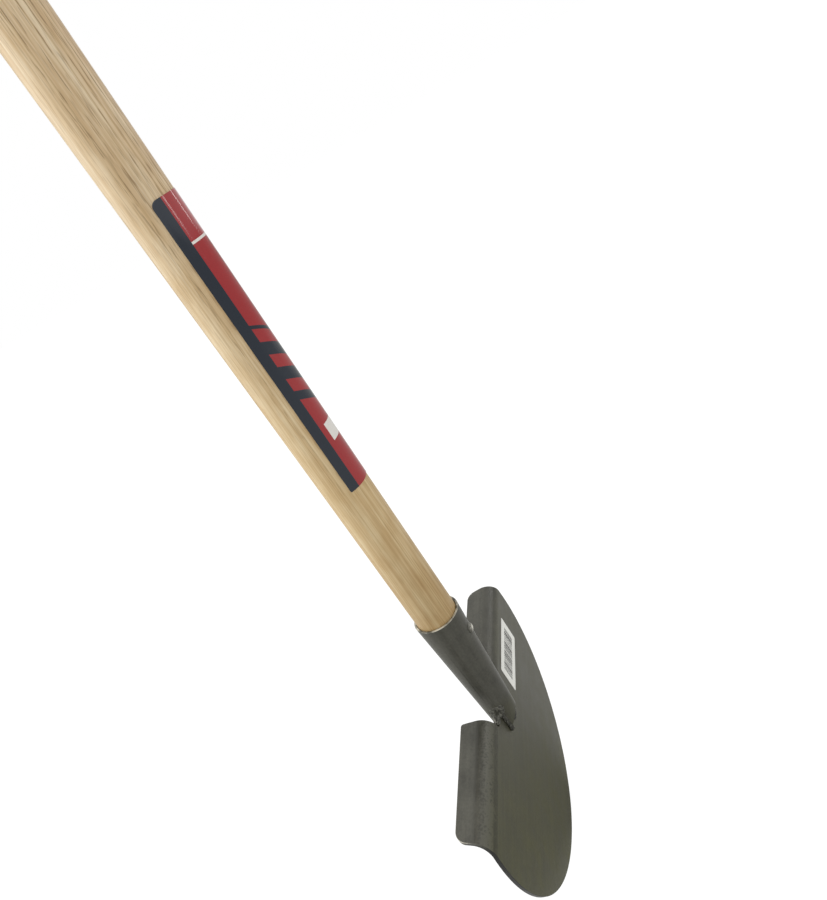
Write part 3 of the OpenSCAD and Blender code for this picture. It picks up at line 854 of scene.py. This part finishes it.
@dataclass
class Blade:
    """The half moon: one sheet, cut flat, ground at its edge and folded back into two treads. Millimetres."""

    tread_z: float
    rear_y: float
    radius: float = 100.0
    sheet: float = 2.5
    bend_inner: float = 7.75
    tread_inset: float = 7.4
    tread_splay: float = 16.0
    tread_corner: float = 7.5
    inner_corner: float = 1.8
    shoulder_round: float = 25.0
    shoulder_ease: float = 0.45
    notch_width: float = 39.5
    notch_depth: float = 12.0
    notch_corner: float = 3.2
    ground_width: float = 5.0
    ground_edge: float = 0.9
    ground_span: float = 55.0
    rim_round: float = 0.35
    rubbed_depth: float = 0.385
    rubbed_past: float = 60.0
    rubbed_middle: float = 0.3
    arc_steps: int = 120
    bend_steps: int = 14

    @classmethod
    def from_frame(cls) -> "Blade":
        """Takes the treads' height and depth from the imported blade."""
        _, high = box_mm("blade")
        return cls(tread_z=high.z, rear_y=high.y)

    @property
    def bend_z(self) -> float:
        """Height at which the bend starts."""
        return self.tread_z - self.bend_inner - self.sheet

    @property
    def bend_radius(self) -> float:
        """Radius of the middle of the sheet in the bend."""
        return self.bend_inner + self.sheet / 2

    @property
    def bend_run(self) -> float:
        """Length of the sheet in the bend."""
        return self.bend_radius * math.pi / 2

    @property
    def flat_top(self) -> float:
        """Height of the rear edge of the treads before folding."""
        return self.bend_z + self.bend_run + self.rear_y - self.bend_radius

    @property
    def floor_z(self) -> float:
        """Height of the notch's floor."""
        return self.tread_z - self.notch_depth

    def build(self) -> None:
        """Cuts, grinds, rounds and folds the sheet."""
        shape = self.cut_outline()
        thicken(shape, self.sheet)
        self.grind(shape)
        round_off(shape, sharp_edges(shape), self.rim_round)
        mark_wear_and_painted_light(shape, self.wear_and_painted_light_at)
        for step in range(self.bend_steps + 1):
            cut(shape, UP * (self.bend_z + self.bend_run * step / self.bend_steps), UP)
        for vert in shape.verts:
            vert.co = self.fold(vert.co)
        bmesh.ops.recalc_face_normals(shape, faces=shape.faces)
        sheet = LacqueredSteel("lacquered_sheet_steel", (50.0, 2.4, 2.4), fold=(self.bend_z, self.tread_z))
        hand_over(shape, "half_moon_blade", sheet, "blade_steel", "blade")

    def cut_outline(self) -> BMesh:
        """Draws the flat outline on the front of the sheet and rounds its corners.

        Returns:
            A shape with one face.
        """
        front = -self.sheet / 2
        splay = math.radians(self.tread_splay)
        reach = self.radius - self.tread_inset
        shoulder = self.shoulder(reach, math.tan(splay))
        lead_in = 2 * self.shoulder_round * math.tan(splay / 4)
        turn = math.pi / 2 + math.atan2(shoulder.y, shoulder.x) - lead_in / self.radius
        shape = bmesh.new()
        start = shape.verts.new((0.0, front, 0.0))
        bmesh.ops.spin(shape, geom=[start], cent=(0.0, front, self.radius), axis=-BACK, angle=turn,
                       steps=self.arc_steps)
        shape.verts.ensure_lookup_table()
        last = max(shape.verts, key=lambda v: v.co.z)
        half = self.notch_width / 2
        corners = [(shoulder.x, self.radius + shoulder.y), (reach, self.flat_top), (half, self.flat_top),
                   (half, self.floor_z), (0.0, self.floor_z)]
        for x, z in corners:
            vert = shape.verts.new((x, front, z))
            shape.edges.new((last, vert))
            last = vert
        bmesh.ops.mirror(shape, geom=shape.verts[:] + shape.edges[:], axis="X", merge_dist=1e-3)
        bmesh.ops.contextual_create(shape, geom=shape.edges[:])
        rear_offset = self.tread_corner * math.tan((math.pi / 2 - splay) / 2)
        rounds = [(lead_in * self.shoulder_ease, 5), (rear_offset, 12), (self.inner_corner, 6),
                  (self.notch_corner, 8)]
        for (x, z), (offset, segments) in zip(corners, rounds):
            found = [v for v in shape.verts if abs(abs(v.co.x) - x) < NEAR and abs(v.co.z - z) < NEAR]
            round_off(shape, found, offset, segments, "VERTICES")
        return shape

    def shoulder(self, reach: float, slope: float) -> Vector:
        """Finds where the slanting end of a tread meets the round edge.

        Args:
            reach: half width at the rear edge of the treads.
            slope: how fast the slanting end widens downwards.

        Returns:
            The place across the blade and above the middle of the half moon.
        """
        at_centre = reach + (self.flat_top - self.radius) * slope
        square = 1 + slope * slope
        root = math.sqrt((at_centre * slope) ** 2 - square * (at_centre ** 2 - self.radius ** 2))
        height = (at_centre * slope - root) / square
        return Vector((at_centre - slope * height, height))

    def grind(self, shape: BMesh) -> None:
        """Grinds a bevel along the rear of the round edge, widest at its lowest point.

        Args:
            shape: the flat sheet.
        """
        rear = max((f for f in shape.faces if f.normal.y > FACING), key=lambda f: f.calc_area())
        limit = math.radians(self.ground_span)
        rim = sorted((v for v in rear.verts if abs(self.rim_angle(v.co)) < limit),
                     key=lambda v: self.rim_angle(v.co))
        first, *ground, last = [v for v in rim if self.from_centre(v.co).length > self.radius - NEAR]
        fade = 1 - math.cos(limit)
        widths = [self.ground_width * (1 - (1 - math.cos(self.rim_angle(v.co))) / fade) for v in ground]
        inner = [v.co - self.from_centre(v.co).normalized() * width for v, width in zip(ground, widths)]
        bmesh.utils.face_split(rear, first, last, coords=inner)
        strip = next(f for f in ground[0].link_faces if last in f.verts and f.normal.y > FACING)
        for vert, place, following in zip(ground, inner, ground[1:] + [last]):
            across = min(strip.verts, key=lambda v: (v.co - place).length)
            bmesh.utils.face_split(strip, vert, across)
            strip = next(f for f in following.link_faces if across in f.verts and vert in f.verts)
        for vert, width in zip(ground, widths):
            vert.co.y -= (self.sheet - self.ground_edge) * width / self.ground_width

    def from_centre(self, place: Vector) -> Vector:
        """Gives the way to a place from the middle of the half moon, in the plane of the sheet."""
        return Vector((place.x, 0.0, place.z - self.radius))

    def rim_angle(self, place: Vector) -> float:
        """Gives the angle of a place about the middle of the half moon, from its lowest point."""
        return math.atan2(place.x, self.radius - place.z)

    def wear_and_painted_light_at(self, place: Vector) -> float:
        """Tells how rubbed a place on the flat sheet is, and where its edges are darkened as painted shade.

        Args:
            place: place on the flat sheet.

        Returns:
            One where the lacquer is rubbed off, zero on the faces and on the notch's floor, minus one on a
            sheared edge, which is darkened as painted shade.
        """
        depth = self.sheet / 2 - abs(place.y)
        on_face = depth < self.rim_round / 8
        on_floor = self.floor_z - self.sheet < place.z < self.bend_z and abs(place.x) < self.notch_width / 2
        if on_face or on_floor:
            return 0.0
        on_tread = place.z > self.bend_z + self.bend_run / 2
        if on_tread and place.y < 0 and depth < self.rubbed_depth:
            return 1.0 if abs(place.x) > self.rubbed_past else self.rubbed_middle
        return -1.0

    def fold(self, place: Vector) -> Vector:
        """Moves a place on the flat sheet to where it lies after folding.

        Args:
            place: place on the flat sheet.

        Returns:
            The place on the folded sheet.
        """
        past = place.z - self.bend_z
        if past <= 0:
            return place
        inward = self.bend_radius - place.y
        if past <= self.bend_run:
            angle = past / self.bend_radius
            return Vector((place.x, self.bend_radius - inward * math.cos(angle),
                           self.bend_z + inward * math.sin(angle)))
        return Vector((place.x, self.bend_radius + past - self.bend_run, self.bend_z + inward))


@dataclass
class BladeSticker:
    """A small white paper sticker on the front of the blade. Millimetres."""

    low: Vector
    high: Vector
    corner: float = 1.2
    corner_steps: int = 5

    @classmethod
    def from_frame(cls) -> "BladeSticker":
        """Takes the sticker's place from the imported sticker."""
        return cls(*box_mm("blade_sticker"))

    def build(self) -> None:
        """Cuts the sticker with round corners."""
        size = self.high - self.low
        middle = (self.high + self.low) / 2
        shape = bmesh.new()
        bmesh.ops.create_grid(shape, x_segments=1, y_segments=1, size=0.5)
        bmesh.ops.scale(shape, vec=(size.x, size.z, 1.0), verts=shape.verts)
        round_off(shape, shape.verts[:], self.corner, self.corner_steps, "VERTICES")
        bmesh.ops.rotate(shape, cent=ORIGIN, matrix=Matrix.Rotation(math.pi / 2, 3, "X"), verts=shape.verts)
        bmesh.ops.translate(shape, vec=(middle.x, self.high.y, middle.z), verts=shape.verts)
        thicken(shape, -size.y)
        hand_over(shape, "paper_sticker", CoatedPaper(self.low, self.high), "sticker_paper", "blade_sticker")


@dataclass
class Socket:
    """The tapered tube, slit at its lower end so that two cheeks straddle the blade. Millimetres.

    The places of the side lumps are taken from the tube's side on the notch's floor, and those of the nose
    lump from the lower end of a cheek.
    """

    mouth_z: float
    tread_z: float
    floor_z: float
    half_sheet: float
    mouth_radius: float = 14.25
    root_radius: float = 10.3
    wall: float = 1.4
    slit_gap: float = 0.1
    slit_rise: float = 0.6
    cheek_length: float = 29.0
    ridge_length: float = 18.0
    waste: float = 2.0
    rim_round: float = 0.3
    side_lumps: tuple[tuple[Triple, Triple], ...] = (
        ((-1.0, -0.4, 3.0), (2.3, 5.2, 5.2)), ((0.6, -0.2, 1.0), (2.0, 3.0, 2.6)),
        ((4.3, -0.2, 1.5), (4.3, 2.3, 2.5)))
    nose_lump: tuple[Triple, Triple] = ((0.0, 4.0, 6.0), (6.2, 2.9, 4.3))
    bead_size: Triple = (1.4, 1.6, 1.5)
    bead_margin: float = 1.0
    bead_sunk: float = 0.7
    bead_off_sheet: float = 0.9
    beads: int = 9
    rivet_drop: float = 17.5
    rivet_radius: float = 3.3
    rivet_rise: float = 1.7
    rivet_sunk: float = 0.6
    # Reach and level of the painted glints on the rivet's crown.
    rivet_glint_reach: float = 2.475
    rivet_glint_level: float = 1.3
    shank_radius: float = 2.25
    tail_rise: float = 1.0
    dome_steps: int = 8
    rivet_steps: int = 32
    steps: int = 96

    @classmethod
    def on_blade(cls, blade: Blade) -> "Socket":
        """Takes the mouth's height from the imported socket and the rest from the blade."""
        return cls(box_mm("socket")[1].z, blade.tread_z, blade.floor_z, blade.sheet / 2)

    @property
    def end_z(self) -> float:
        """Height of the lower end of the cheeks."""
        return self.tread_z - self.cheek_length

    def radius(self, height: float) -> float:
        """Outer radius of the socket at a height."""
        share = (height - self.tread_z) / (self.mouth_z - self.tread_z)
        return self.root_radius + (self.mouth_radius - self.root_radius) * share

    def build(self) -> None:
        """Builds the socket, its welds and its rivet."""
        self.build_tube()
        self.build_side_welds()
        self.build_nose_weld(Face.FRONT, "front_nose_weld")
        self.build_nose_weld(Face.REAR, "rear_nose_weld")
        self.build_rivet()

    def build_tube(self) -> None:
        """Turns the two walls, cuts the cheeks and the slit, and closes the edges."""
        ends = (self.end_z - self.waste, self.mouth_z)
        shape = lathe([[(self.radius(z) - inset, z) for z in ends] for inset in (0.0, self.wall)], self.steps)
        self.cut_cheeks(shape)
        self.cut_slit(shape)
        open_edges = [e for e in shape.edges if e.is_boundary]
        upper = [e for e in open_edges if self.at_mouth(e)]
        bmesh.ops.bridge_loops(shape, edges=upper)
        bmesh.ops.bridge_loops(shape, edges=[e for e in open_edges if e not in upper])
        bmesh.ops.recalc_face_normals(shape, faces=shape.faces)
        round_off(shape, [e for e in sharp_edges(shape) if self.at_mouth(e)], self.rim_round)
        mark_wear_and_painted_light(shape, lambda place: 1.0 if place.z > self.mouth_z - self.rim_round / 2 else 0.0)
        hand_over(shape, "tapered_socket", TUBE, "blade_steel", "socket")

    def at_mouth(self, edge: BMEdge) -> bool:
        """Tells whether an edge lies on the socket's mouth."""
        return all(vert.co.z > self.mouth_z - NEAR for vert in edge.verts)

    def cut_cheeks(self, shape: BMesh) -> None:
        """Cuts the slanting ends of the two cheeks.

        Args:
            shape: the two walls.
        """
        ridge = self.tread_z - self.ridge_length
        run = self.radius(ridge) - self.half_sheet
        for face in Face:
            cut(shape, Vector((0.0, face.value * self.half_sheet, self.end_z)),
                Vector((0.0, -face.value * (ridge - self.end_z), run)), clear=True)

    def cut_slit(self, shape: BMesh) -> None:
        """Cuts the slit that takes the blade.

        Args:
            shape: the two walls with their cheeks.
        """
        half = self.half_sheet + self.slit_gap
        top = self.floor_z + self.slit_rise + half
        cut(shape, UP * top, UP)
        for face in Face:
            below = [f for f in shape.faces if f.calc_center_median().z < top]
            edges = list({e for f in below for e in f.edges})
            verts = list({v for f in below for v in f.verts})
            cut(shape, BACK * (face.value * half), BACK, verts + edges + below)
        inside = [f for f in shape.faces
                  if abs(f.calc_center_median().y) < half and f.calc_center_median().z < top]
        bmesh.ops.delete(shape, geom=inside, context="FACES")

    def build_side_welds(self) -> None:
        """Lays lumps of weld along the notch's floor and up both sides of the tube."""
        root = self.radius(self.floor_z)
        shape = bmesh.new()
        for side in Side:
            for (out, depth, rise), size in self.side_lumps:
                add_lump(shape, Vector((side.value * (root + out), depth, self.floor_z + rise)), size)
        hand_over(shape, "side_weld_lumps", WELD, "weld_metal", "side_welds", face_weight=0)

    def build_nose_weld(self, face: Face, node: str) -> None:
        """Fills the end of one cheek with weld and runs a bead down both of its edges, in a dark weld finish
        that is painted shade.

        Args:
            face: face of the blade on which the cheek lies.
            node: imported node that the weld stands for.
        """
        shape = bmesh.new()
        (out, depth, rise), size = self.nose_lump
        add_lump(shape, Vector((out, face.value * depth, self.end_z + rise)), size)
        first, last = self.floor_z - self.bead_margin, self.end_z + self.bead_margin
        for side in Side:
            for bead in range(self.beads):
                height = first + (last - first) * bead / (self.beads - 1)
                reach = self.radius(height) - self.bead_sunk
                depth = self.half_sheet + self.bead_off_sheet
                add_lump(shape, Vector((side.value * reach, face.value * depth, height)), self.bead_size)
        hand_over(shape, node + "_bead", SHADE_DARK_WELD, "weld_metal", node, face_weight=0)

    def build_rivet(self) -> None:
        """Turns the domed head and the hammered tail of the rivet, with painted glints on its crown."""
        centre = UP * (self.mouth_z - self.rivet_drop)
        sunk = self.radius(centre.z) - self.rivet_sunk
        turns = [math.pi / 2 * step / self.dome_steps for step in range(self.dome_steps + 1)]
        front, rear = ([(self.rivet_radius * math.cos(turn), sunk + (rise + self.rivet_sunk) * math.sin(turn))
                        for turn in turns] for rise in (self.rivet_rise, self.tail_rise))
        outline = [(reach, -height) for reach, height in reversed(rear)]
        outline += [(self.shank_radius, -sunk), (self.shank_radius, sunk)] + front
        shape = lathe([outline], self.rivet_steps, -BACK, centre)
        # Painted glints: the crown is painted pale bare steel in small chips.
        mark_wear_and_painted_light(shape, lambda place: max(0.0, self.rivet_glint_level - math.hypot(place.x, place.z - centre.z)
                                           / self.rivet_glint_reach))
        hand_over(shape, "domed_rivet", RIVET, "rivet_steel", "socket_rivet", face_weight=0)


@dataclass
class Shaft:
    """The turned ash shaft and its label. Millimetres and degrees."""

    mouth_z: float
    foot_z: float
    grip_z: float
    label_low: float
    label_high: float
    mouth_radius: float = 12.6
    swell_radius: float = 13.5
    neck_radius: float = 10.7
    swell_z: float = 724.0
    grip_radius: float = 15.25
    fit_gap: float = 0.2
    foot_radius: float = 9.04
    seat_drop: float = 0.4
    tenon_radius: float = 7.0
    tenon_rise: float = 8.0
    label_start: float = -151.0
    label_wrap: float = 150.0
    label_film: float = 0.2
    label_glue: float = 0.1
    label_corners: Span = (0.7, 3.0)
    label_columns: int = 48
    label_rows: int = 60
    corner_rows: float = 0.12
    pith: Span = (56.0, -20.0)
    stained: float = 75.0
    plain_lead: float = 40.0
    stations: int = 48
    steps: int = 128

    @classmethod
    def from_frame(cls) -> "Shaft":
        """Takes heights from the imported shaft, grip, socket and label."""
        label_low, label_high = box_mm("shaft_label")
        grip_low, grip_high = box_mm("cross_grip")
        return cls(mouth_z=box_mm("socket")[1].z, foot_z=box_mm("shaft")[0].z,
                   grip_z=(grip_low.z + grip_high.z) / 2, label_low=label_low.z, label_high=label_high.z)

    def radius(self, height: float) -> float:
        """Radius of the shaft at a height above the socket's mouth.

        Args:
            height: the height.

        Returns:
            The radius.
        """
        if height < self.swell_z:
            share = (height - self.mouth_z) / (self.swell_z - self.mouth_z)
            swell = (1 - math.cos(math.pi * share)) / 2
            return self.mouth_radius + (self.swell_radius - self.mouth_radius) * swell
        share = (height - self.swell_z) / (self.grip_z - self.swell_z)
        taper = 1 - math.cos(math.pi / 2 * share)
        return self.swell_radius + (self.neck_radius - self.swell_radius) * taper

    def build(self) -> None:
        """Builds the shaft and its label."""
        self.build_shaft()
        self.build_label()

    def build_shaft(self) -> None:
        """Turns the shaft, copes its top to the grip and draws out the tenon."""
        top, end = self.grip_z - self.grip_radius, self.grip_z + self.tenon_rise
        heights = [self.mouth_z + (top - self.mouth_z) * i / self.stations for i in range(self.stations + 1)]
        outline = [(0.0, self.foot_z), (self.foot_radius, self.foot_z),
                   (self.mouth_radius, self.mouth_z - self.seat_drop)]
        outline += [(self.radius(z), z) for z in heights]
        outline += [(self.tenon_radius, top), (self.tenon_radius, end), (0.0, end)]
        shape = lathe([outline], self.steps)
        bore = self.grip_radius + self.fit_gap
        for vert in shape.verts:
            if abs(vert.co.z - top) < NEAR:
                vert.co.z = self.grip_z - math.sqrt(bore * bore - vert.co.y * vert.co.y)
        ash = PaleAsh("pale_ash_shaft", Grain.UP_THE_SHAFT, self.pith,
                      stain=(self.mouth_z, self.mouth_z + self.stained),
                      golden=(self.label_low, self.label_high),
                      plain=(self.label_low - self.plain_lead, self.label_high))
        hand_over(shape, "turned_shaft", ash, "shaft_ash", "shaft")

    def build_label(self) -> None:
        """Cuts the film with round corners, maps its print and wraps it round the shaft."""
        length = self.label_high - self.label_low
        wrap = math.radians(self.label_wrap)
        width = wrap * self.radius((self.label_low + self.label_high) / 2)
        shape = bmesh.new()
        bmesh.ops.create_grid(shape, x_segments=self.label_columns, y_segments=self.label_rows, size=0.5)
        for vert in shape.verts:
            along = self.eased(vert.co.y + 0.5, length)
            inset = 0.0
            for near_end, corner in zip((along, length - along), self.label_corners):
                if near_end < corner:
                    inset = corner - math.sqrt(corner ** 2 - (corner - near_end) ** 2)
            vert.co = Vector((inset + (vert.co.x + 0.5) * (width - 2 * inset), along, 0.0))
        film = shape.loops.layers.uv.new("film")
        for face in shape.faces:
            for loop in face.loops:
                loop[film].uv = loop.vert.co.xy * MM
        for vert in shape.verts:
            angle = math.radians(self.label_start) + vert.co.x / width * wrap
            height = self.label_low + vert.co.y
            reach = self.radius(height) + self.label_glue + self.label_film
            vert.co = Vector((reach * math.cos(angle), reach * math.sin(angle), height))
        bmesh.ops.recalc_face_normals(shape, faces=shape.faces)
        shape.faces.ensure_lookup_table()
        if shape.faces[0].normal.xy.dot(shape.faces[0].calc_center_median().xy) < 0:
            bmesh.ops.reverse_faces(shape, faces=shape.faces)
        bmesh.ops.solidify(shape, geom=shape.faces[:], thickness=self.label_film)
        hand_over(shape, "printed_label", PrintedFilm(width, length), "label_film", "shaft_label")

    def eased(self, share: float, length: float) -> float:
        """Spreads rows along the label, closer together at its round ends.

        Args:
            share: even share of the rows, from zero to one.
            length: length of the label.

        Returns:
            Distance from the lower end.
        """
        lead = self.corner_rows
        low, high = self.label_corners
        if share < lead:
            return low * (1 - math.cos(math.pi / 2 * share / lead))
        if share > 1 - lead:
            return length - high * (1 - math.cos(math.pi / 2 * (1 - share) / lead))
        return low + (length - low - high) * (share - lead) / (1 - 2 * lead)


@dataclass
class CrossGrip:
    """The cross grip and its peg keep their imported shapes, with true bores and round ends. Millimetres."""

    grip_z: float
    grip_pith: Span = (-50.0, 24.0)
    peg_pith: Span = (-9.0, 30.0)
    peg_pale: str = "#D2B788"
    peg_ring: float = 1.4

    @classmethod
    def from_frame(cls) -> "CrossGrip":
        """Takes the height of the grip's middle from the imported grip."""
        low, high = box_mm("cross_grip")
        return cls((low.z + high.z) / 2)

    def build(self) -> None:
        """Dresses the grip and its peg."""
        dress_node("cross_grip", PaleAsh("pale_ash_grip", Grain.ALONG_THE_GRIP, self.grip_pith, self.grip_z))
        dress_node("grip_peg", PaleAsh("ash_peg", Grain.ALONG_THE_GRIP, self.peg_pith, self.grip_z,
                                       pale=self.peg_pale, ring=self.peg_ring))


@dataclass(frozen=True)
class Softbox:
    """A soft lamp: its place, its width and height in millimetres, and its power in watts."""

    name: str
    place: Vector
    size: Span
    watts: float

    def hang(self, aim: Vector) -> None:
        """Hangs the lamp and points it at a place.

        Args:
            aim: the place in millimetres.
        """
        lamp = bpy.data.lights.new(self.name, "AREA")
        lamp.shape = "RECTANGLE"
        lamp.size, lamp.size_y = (side * MM for side in self.size)
        lamp.energy = self.watts
        hung = put_in_scene(self.name, lamp)
        hung.location = self.place * MM
        hung.rotation_euler = (aim - self.place).to_track_quat("-Z", "Y").to_euler()


@dataclass
class Studio:
    """Camera, soft light and a pale floor. Millimetres and degrees; the focal length is in pixels."""

    image_width: int = 827
    focal_pixels: float = 758.24
    sensor: float = 36.0
    camera_at: Vector = Vector((-317.95, -167.49, 458.39))
    camera_to: Vector = Vector((18.64, -35.25, 287.45))
    camera_roll: float = 32.34
    nearest: float = 10.0
    farthest: float = 100000.0
    world_fill: float = 0.62
    floor_half: float = 6000.0
    floor_drop: float = 0.2
    floor_colour: str = "#D6D6D3"
    floor_roughness: float = 0.9
    floor_glow: float = 1.2
    floor_glow_share: float = 0.78
    lamp_aim: Vector = Vector((0.0, 0.0, 200.0))
    softboxes: tuple[Softbox, ...] = (
        Softbox("left softbox", Vector((-250.0, 1500.0, 1600.0)), (750.0, 750.0), 27.0),
        Softbox("front strip", Vector((0.0, -1700.0, 760.0)), (160.0, 900.0), 2.2),
        Softbox("right strip", Vector((1302.0, -1093.0, 760.0)), (110.0, 900.0), 2.0),
        Softbox("camera softbox", Vector((-700.0, -380.0, 850.0)), (400.0, 400.0), 1.1))

    def build(self) -> None:
        """Sets up the view, the light and the floor."""
        self.set_camera()
        self.set_world()
        self.set_floor()
        for softbox in self.softboxes:
            softbox.hang(self.lamp_aim)
        bpy.context.scene.view_settings.view_transform = "Standard"

    def set_camera(self) -> None:
        """Places the camera and turns it about its line of sight."""
        lens = bpy.data.cameras.new("camera")
        lens.sensor_fit = "HORIZONTAL"
        lens.sensor_width = self.sensor
        lens.lens = self.focal_pixels / self.image_width * self.sensor
        lens.clip_start = self.nearest * MM
        lens.clip_end = self.farthest * MM
        forward = (self.camera_to - self.camera_at).normalized()
        level = forward.cross(UP).normalized()
        upright = level.cross(forward)
        roll = math.radians(self.camera_roll)
        up = upright * math.cos(roll) + level * math.sin(roll)
        turn = Matrix((forward.cross(up), up, -forward)).transposed()
        camera = put_in_scene("camera", lens)
        camera.matrix_world = Matrix.Translation(self.camera_at * MM) @ turn.to_4x4()
        bpy.context.scene.camera = camera

    def seen(self, tree: NodeTree) -> NodeSocket:
        """Gives one for rays that see the background straight, in a gloss or through glass.

        Args:
            tree: node tree.

        Returns:
            The output socket of the mask.
        """
        camera, glossy, through = (add_node(tree, "LightPath", out=f"Is {ray} Ray")
                                   for ray in ("Camera", "Glossy", "Transmission"))
        pair = add_node(tree, "Math", {0: camera, 1: glossy}, operation="MAXIMUM")
        return add_node(tree, "Math", {0: pair, 1: through}, operation="MAXIMUM")

    def set_world(self) -> None:
        """Makes a white backdrop that lights the object softly."""
        world = bpy.data.worlds.new("white studio")
        bpy.context.scene.world = world
        world.use_nodes = True
        tree = world.node_tree
        strength = add_node(tree, "MapRange", {0: self.seen(tree), 3: self.world_fill})
        plug(tree, tree.nodes["Background"], {"Color": linear(WHITE), "Strength": strength})

    def set_floor(self) -> None:
        """Lays a pale floor under the blade that keeps a faint shadow."""
        paint = bpy.data.materials.new("white_floor_paint")
        paint.use_nodes = True
        tree = paint.node_tree
        shader = tree.nodes["Principled BSDF"]
        plug(tree, shader, {"Base Color": linear(self.floor_colour), "Roughness": self.floor_roughness})
        glow = add_node(tree, "Emission", {"Color": linear(WHITE), "Strength": self.floor_glow})
        camera = add_node(tree, "LightPath", out="Is Camera Ray")
        share = add_node(tree, "Math", {0: camera, 1: self.floor_glow_share}, operation="MULTIPLY")
        surface = add_node(tree, "MixShader", {0: share, 1: shader.outputs[0], 2: glow})
        plug(tree, tree.nodes["Material Output"], {"Surface": surface})
        shape = bmesh.new()
        bmesh.ops.create_grid(shape, x_segments=1, y_segments=1, size=self.floor_half * MM)
        bmesh.ops.translate(shape, vec=UP * (-self.floor_drop * MM), verts=shape.verts)
        floor = put_mesh(shape, "floor", paint)
        floor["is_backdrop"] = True


def main() -> None:
    """Builds the edger piece by piece, then the studio."""
    logging.basicConfig(level=logging.INFO, format="%(name)s: %(message)s")
    blade = Blade.from_frame()
    blade.build()
    BladeSticker.from_frame().build()
    Socket.on_blade(blade).build()
    Shaft.from_frame().build()
    CrossGrip.from_frame().build()
    Studio().build()
    boxes = {"cad": CAD_BOX, "visual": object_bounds()}
    {name: [list(corner) for corner in box] for name, box in boxes.items()}


if __name__ == "__main__":
    main()
